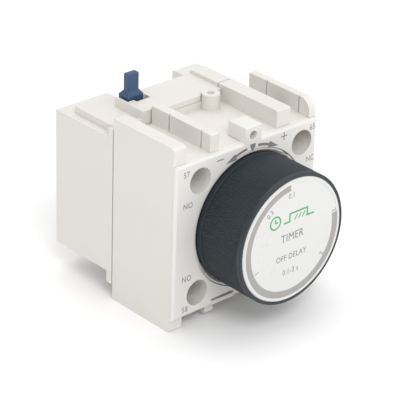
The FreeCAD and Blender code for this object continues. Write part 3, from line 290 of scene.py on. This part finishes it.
def flat_piece(name, outlines, y, material, body):
    """Thin printed shapes on a face at y, from closed (x, z) outlines seen from the front."""
    mesh = bpy.data.meshes.new(name)
    work = bmesh.new()
    for outline in outlines:
        back = [work.verts.new((x, y + INK_SINK, z)) for x, z in outline]
        front = [work.verts.new((x, y - INK, z)) for x, z in outline]
        work.faces.new(back)
        work.faces.new(front[::-1])
        for number in range(len(outline)):
            after = (number + 1) % len(outline)
            work.faces.new((back[number], front[number], front[after], back[after]))
    bmesh.ops.recalc_face_normals(work, faces=work.faces)
    work.to_mesh(mesh)
    work.free()
    mesh.materials.append(material)
    piece = bpy.data.objects.new(name, mesh)
    bpy.context.scene.collection.objects.link(piece)
    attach(piece, body)
    return piece


def lettering(name, text, x, y, z, height, material, body, turn=0.0, squeeze=0.86):
    """Generic printed characters centred on (x, z), turned anticlockwise by turn degrees."""
    curve = bpy.data.curves.new(name + "_text", "FONT")
    curve.body = text
    curve.align_x = "CENTER"
    curve.align_y = "CENTER"
    curve.size = height / CAPITAL_SHARE
    curve.space_character = LETTER_SPACING
    curve.extrude = (INK + INK_SINK) / 2
    curve.resolution_u = 3
    holder = bpy.data.objects.new(name + "_text", curve)
    bpy.context.scene.collection.objects.link(holder)
    bpy.context.view_layer.update()
    mesh = bpy.data.meshes.new_from_object(holder)
    bpy.data.objects.remove(holder)
    facing = Matrix.Rotation(math.radians(90), 4, "X")
    spin = Matrix.Rotation(math.radians(-turn), 4, "Y")
    place = Matrix.Translation((x, y + INK_SINK - (INK + INK_SINK) / 2, z))
    mesh.transform(place @ spin @ facing @ Matrix.Diagonal((squeeze, 1, 1, 1)))
    mesh.name = name
    mesh.materials.clear()
    mesh.materials.append(material)
    piece = bpy.data.objects.new(name, mesh)
    bpy.context.scene.collection.objects.link(piece)
    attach(piece, body)
    return piece


def arc_outline(x, z, inner, outer, start, end, steps):
    """Closed outline of a ring segment."""
    outline = []
    for radius, order in ((outer, range(steps + 1)), (inner, range(steps, -1, -1))):
        for number in order:
            angle = math.radians(start + (end - start) * number / steps)
            outline.append((x + radius * math.cos(angle), z + radius * math.sin(angle)))
    return outline


def ring_strip(x, z, inner, outer, start, end, steps):
    """The same ring segment as short four-sided pieces, which stay planar and convex."""
    strips = []
    for number in range(steps):
        a = start + (end - start) * number / steps
        b = start + (end - start) * (number + 1) / steps
        strips.append(arc_outline(x, z, inner, outer, a, b, 1))
    return strips


def stroke(points, width):
    """Four-sided pieces along a line of points."""
    strips = []
    for (xa, za), (xb, zb) in zip(points, points[1:]):
        along = Vector((xb - xa, zb - za)).normalized()
        side = Vector((-along.y, along.x)) * width / 2
        strips.append([(xa + side.x, za + side.y), (xb + side.x, zb + side.y),
                       (xb - side.x, zb - side.y), (xa - side.x, za - side.y)])
    return strips


def curved_arrow(tail, bend, neck, tip, width, head):
    """An arrow whose shaft bows from tail over bend to neck, with a head of half-width head."""
    points = []
    for number in range(ARROW_STEPS + 1):
        t = number / ARROW_STEPS
        weights = ((1 - t) ** 2, 2 * t * (1 - t), t * t)
        points.append(tuple(weights[0] * tail[i] + weights[1] * bend[i] + weights[2] * neck[i] for i in (0, 1)))
    shapes = stroke(points, width)
    along = Vector((tip[0] - neck[0], tip[1] - neck[1])).normalized()
    side = Vector((-along.y, along.x)) * head
    shapes.append([(neck[0] + side.x, neck[1] + side.y), tip, (neck[0] - side.x, neck[1] - side.y)])
    return shapes


def millimetres(shapes, x=0.0, z=0.0):
    return [[(x + a * MM, z + b * MM) for a, b in outline] for outline in shapes]


def face_marks(grey, face_y, axis_x):
    """Direction arrows, pointer, signs and terminal numbers on the front cover."""
    arrows = curved_arrow((-1.75, 18.05), (-4.0, 17.75), (-5.2, 17.15), (-8.25, 16.1), 0.6, 0.82)
    arrows += curved_arrow((1.6, 18.05), (3.6, 17.85), (5.1, 17.2), (8.05, 16.1), 0.65, 0.85)
    flat_piece("cover_arrows", millimetres(arrows, axis_x), face_y, grey, "housing")
    pointer = [[(-0.85, 18.85), (0.85, 18.85), (0.8, 18.2), (0.42, 17.55), (0.0, 16.95),
                (-0.42, 17.55), (-0.8, 18.2)]]
    flat_piece("cover_pointer", millimetres(pointer, axis_x), face_y, grey, "housing")
    signs = stroke([(-11.1, 17.75), (-8.95, 17.75)], SIGN_WIDTH)
    signs += stroke([(8.9, 17.85), (10.9, 17.85)], SIGN_WIDTH)
    signs += stroke([(9.9, 18.85), (9.9, 17.98)], SIGN_WIDTH)
    signs += stroke([(9.9, 17.72), (9.9, 16.85)], SIGN_WIDTH)
    flat_piece("cover_signs", millimetres(signs, axis_x), face_y, grey, "housing")
    words = (("number_57", "57", -18.8, 17.1), ("type_upper_left", "NO", -18.15, 9.15),
             ("type_lower_left", "NO", -17.95, -9.65), ("number_58", "58", -18.2, -17.7),
             ("number_65", "65", 20.45, 17.45), ("type_upper_right", "NC", 20.2, 9.4),
             ("type_lower_right", "NC", 20.2, -9.5), ("number_66", "66", 20.2, -17.6))
    for name, text, x, z in words:
        lettering("cover_" + name, text, x * MM, face_y, z * MM, CHARACTER, grey, "housing")


def dial_marks(grey, band_grey, green, field_y, axis_x):
    """Scale band, numerals and a plain clock-and-step pictogram on the dial plate."""
    band = ring_strip(axis_x, 0, BAND_INNER, BAND_OUTER, BAND_START, BAND_END, BAND_STEPS)
    flat_piece("dial_scale_band", band, field_y, band_grey, "dial")
    numerals = (("0_1", "0.1", 94.0, 11.6), ("0_3", "0.3", 130.0, 11.4), ("1", "1", 205.0, 11.9),
                ("2", "2", 325.5, 12.0), ("3", "3", 374.3, 13.6))
    for name, text, angle, radius in numerals:
        turn = math.radians(angle)
        x = axis_x + radius * MM * math.cos(turn)
        z = radius * MM * math.sin(turn)
        lettering("dial_numeral_" + name, text, x, field_y, z, 1.3 * MM, grey, "dial",
                  angle - 90)
    lettering("dial_range", "0.1-3 s", axis_x, field_y, -8.0 * MM, 1.4 * MM, grey, "dial")
    lettering("dial_function", "OFF DELAY", axis_x, field_y, -4.1 * MM, 1.45 * MM, grey, "dial")
    lettering("dial_kind", "TIMER", axis_x, field_y, 0.95 * MM, 2.0 * MM, grey, "dial")
    clock_x = axis_x - 5.6 * MM
    clock_z = 6.0 * MM
    clock = ring_strip(clock_x, clock_z, 1.35 * MM, 1.75 * MM, 0, 360, CLOCK_STEPS)
    hands = stroke([(0, -0.16), (0, 1.0)], CLOCK_HAND) + stroke([(0.16, 0), (0.85, 0)], CLOCK_HAND)
    clock += millimetres(hands, clock_x, clock_z)
    flat_piece("dial_clock", clock, field_y, green, "dial")
    step = stroke([(-2.9, 5.0), (-1.3, 5.0)], STEP_LINE) + stroke([(-1.09, 4.79), (-1.09, 7.2)], STEP_LINE)
    step += stroke([(-0.88, 6.99), (4.2, 6.99)], STEP_LINE) + stroke([(4.41, 7.2), (4.41, 4.79)], STEP_LINE)
    step += stroke([(4.62, 5.0), (6.6, 5.0)], STEP_LINE)
    for x in (0.4, 1.6, 2.8):
        step += stroke([(x, 5.0), (x + 0.9, 6.3)], DIAGONAL)
    flat_piece("dial_step", millimetres(step, axis_x), field_y, green, "dial")


# ---- floor, light, camera ----

def make_floor(level):
    mesh = bpy.data.meshes.new("floor")
    corners = [(x * FLOOR_HALF, y * FLOOR_HALF, level) for x, y in ((-1, -1), (1, -1), (1, 1), (-1, 1))]
    mesh.from_pydata(corners, [], [(0, 1, 2, 3)])
    material, nodes, links, shader = new_material("floor_paper")
    grain = object_noise(nodes, links, 60, 3)
    links.new(ramp(nodes, links, grain, 0.3, 0.7, ((0.965, 0.965, 0.965), (0.98, 0.98, 0.98))),
              shader.inputs["Base Color"])
    shader.inputs["Roughness"].default_value = 0.9
    shader.inputs["Specular IOR Level"].default_value = 0.1
    mesh.materials.append(material)
    floor = bpy.data.objects.new("floor", mesh)
    bpy.context.scene.collection.objects.link(floor)


def soft_light(name, place, aim, size, power):
    data = bpy.data.lights.new(name, "AREA")
    data.shape = "SQUARE"
    data.size = size
    data.energy = power
    light = bpy.data.objects.new(name, data)
    bpy.context.scene.collection.objects.link(light)
    light.location = place
    light.rotation_mode = "QUATERNION"
    light.rotation_quaternion = (Vector(aim) - Vector(place)).to_track_quat("-Z", "Y")


def make_lights(centre):
    world = bpy.data.worlds.new("studio")
    world.use_nodes = True
    background = world.node_tree.nodes["Background"]
    background.inputs["Color"].default_value = (1.0, 1.0, 1.0, 1)
    background.inputs["Strength"].default_value = WORLD_STRENGTH
    bpy.context.scene.world = world
    for name, place, size, power in LIGHTS:
        soft_light(name, centre + Vector(place), centre, size, power)


def make_camera(target):
    data = bpy.data.cameras.new("camera")
    data.sensor_width = CAMERA_SENSOR
    data.lens = CAMERA_LENS
    data.shift_x, data.shift_y = CAMERA_SHIFT
    data.clip_start = 0.05
    camera = bpy.data.objects.new("camera", data)
    bpy.context.scene.collection.objects.link(camera)
    azimuth, elevation, roll = (math.radians(a) for a in (CAMERA_AZIMUTH, CAMERA_ELEVATION, CAMERA_ROLL))
    back = Vector((math.sin(azimuth) * math.cos(elevation), -math.cos(azimuth) * math.cos(elevation),
                   math.sin(elevation)))
    right = Vector((math.cos(azimuth), math.sin(azimuth), 0))
    up = back.cross(right)
    across = math.cos(roll) * right + math.sin(roll) * up
    camera.matrix_world = Matrix.Translation(target + back * CAMERA_DISTANCE) @ Matrix(
        (across, back.cross(across), back)).transposed().to_4x4()
    bpy.context.scene.camera = camera


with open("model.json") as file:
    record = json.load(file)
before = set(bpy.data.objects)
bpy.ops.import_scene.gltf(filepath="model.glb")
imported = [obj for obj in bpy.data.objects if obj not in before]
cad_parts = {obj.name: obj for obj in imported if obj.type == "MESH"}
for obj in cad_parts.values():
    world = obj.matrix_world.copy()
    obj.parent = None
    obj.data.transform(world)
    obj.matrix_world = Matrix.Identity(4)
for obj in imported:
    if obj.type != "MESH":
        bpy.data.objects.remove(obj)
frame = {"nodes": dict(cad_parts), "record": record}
cad_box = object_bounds()
materials = make_materials()
dress_nodes(frame["record"], frame["nodes"], materials)

plate_low, plate_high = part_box("dial_plate")
knob_low, knob_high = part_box("knob")
dial_x = (knob_low.x + knob_high.x) / 2
print_grey = ink("print_grey", (0.24, 0.235, 0.25), (0.18, 0.175, 0.19))
band_grey = ink("print_band", (0.37, 0.355, 0.345), (0.34, 0.325, 0.315))
print_green = ink("print_green", (0.06, 0.42, 0.16), (0.05, 0.36, 0.13))
face_marks(print_grey, FACE, dial_x)
dial_marks(print_grey, band_grey, print_green, plate_low.y + DIAL_FIELD_DEPTH, dial_x)

centre = (cad_box[0] + cad_box[1]) / 2
make_floor(cad_box[0].z)
make_lights(centre)
make_camera(Vector((0, FACE, 0)))
bpy.context.scene.view_settings.view_transform = "Standard"
